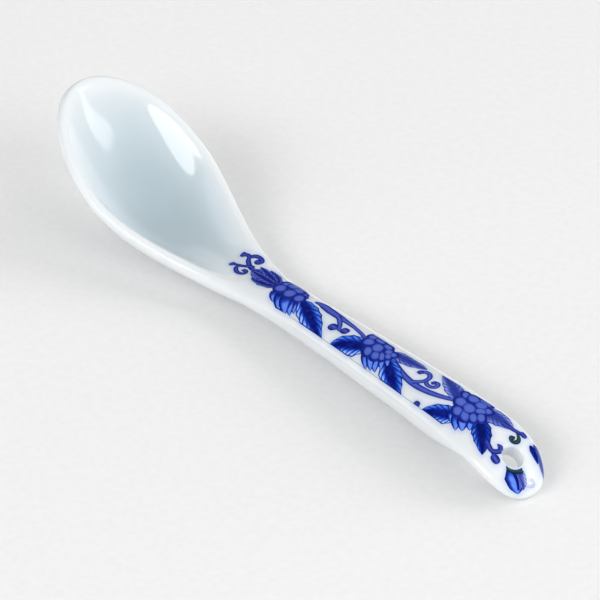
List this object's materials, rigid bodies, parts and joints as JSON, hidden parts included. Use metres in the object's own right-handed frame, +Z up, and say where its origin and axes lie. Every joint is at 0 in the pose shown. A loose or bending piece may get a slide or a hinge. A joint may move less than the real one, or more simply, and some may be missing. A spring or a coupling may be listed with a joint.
{
  "type": "ceramic teaspoon",
  "caption": "Porcelain teaspoon with a deep egg-shaped bowl, a narrow neck and a drooping round-ended handle with a hanging hole and blue scrollwork transfers.",
  "frame": {"origin": "on the table, under the middle of the spoon's length", "axes": "+X along the spoon from the bowl's tip to the handle's end, +Y to the left seen from the bowl towards the handle, +Z up out of the bowl"},
  "size_m": [0.1306, 0.0288, 0.0242],
  "materials": {
    "celadon_white_porcelain": "gloss glaze",
    "cobalt_underglaze": "gloss glaze over print",
    "dark_cobalt_underglaze": "gloss glaze over print"
  },
  "bodies": {
    "root": {"spoon_body": "celadon_white_porcelain", "bud_transfer": "dark_cobalt_underglaze", "bud_curl_transfer": "dark_cobalt_underglaze", "flower_transfer_1": "cobalt_underglaze", "flower_transfer_2": "cobalt_underglaze", "flower_transfer_3": "cobalt_underglaze", "stem_transfer_1": "cobalt_underglaze", "stem_curl_transfer_1": "cobalt_underglaze", "stem_transfer_2": "cobalt_underglaze", "stem_curl_transfer_2": "cobalt_underglaze", "edge_bud_transfer": "cobalt_underglaze", "tip_leaf_transfer_right": "dark_cobalt_underglaze", "tendril_transfer_right": "dark_cobalt_underglaze", "tip_leaf_transfer_left": "dark_cobalt_underglaze", "tendril_transfer_left": "dark_cobalt_underglaze"}
  },
  "joints": []
}
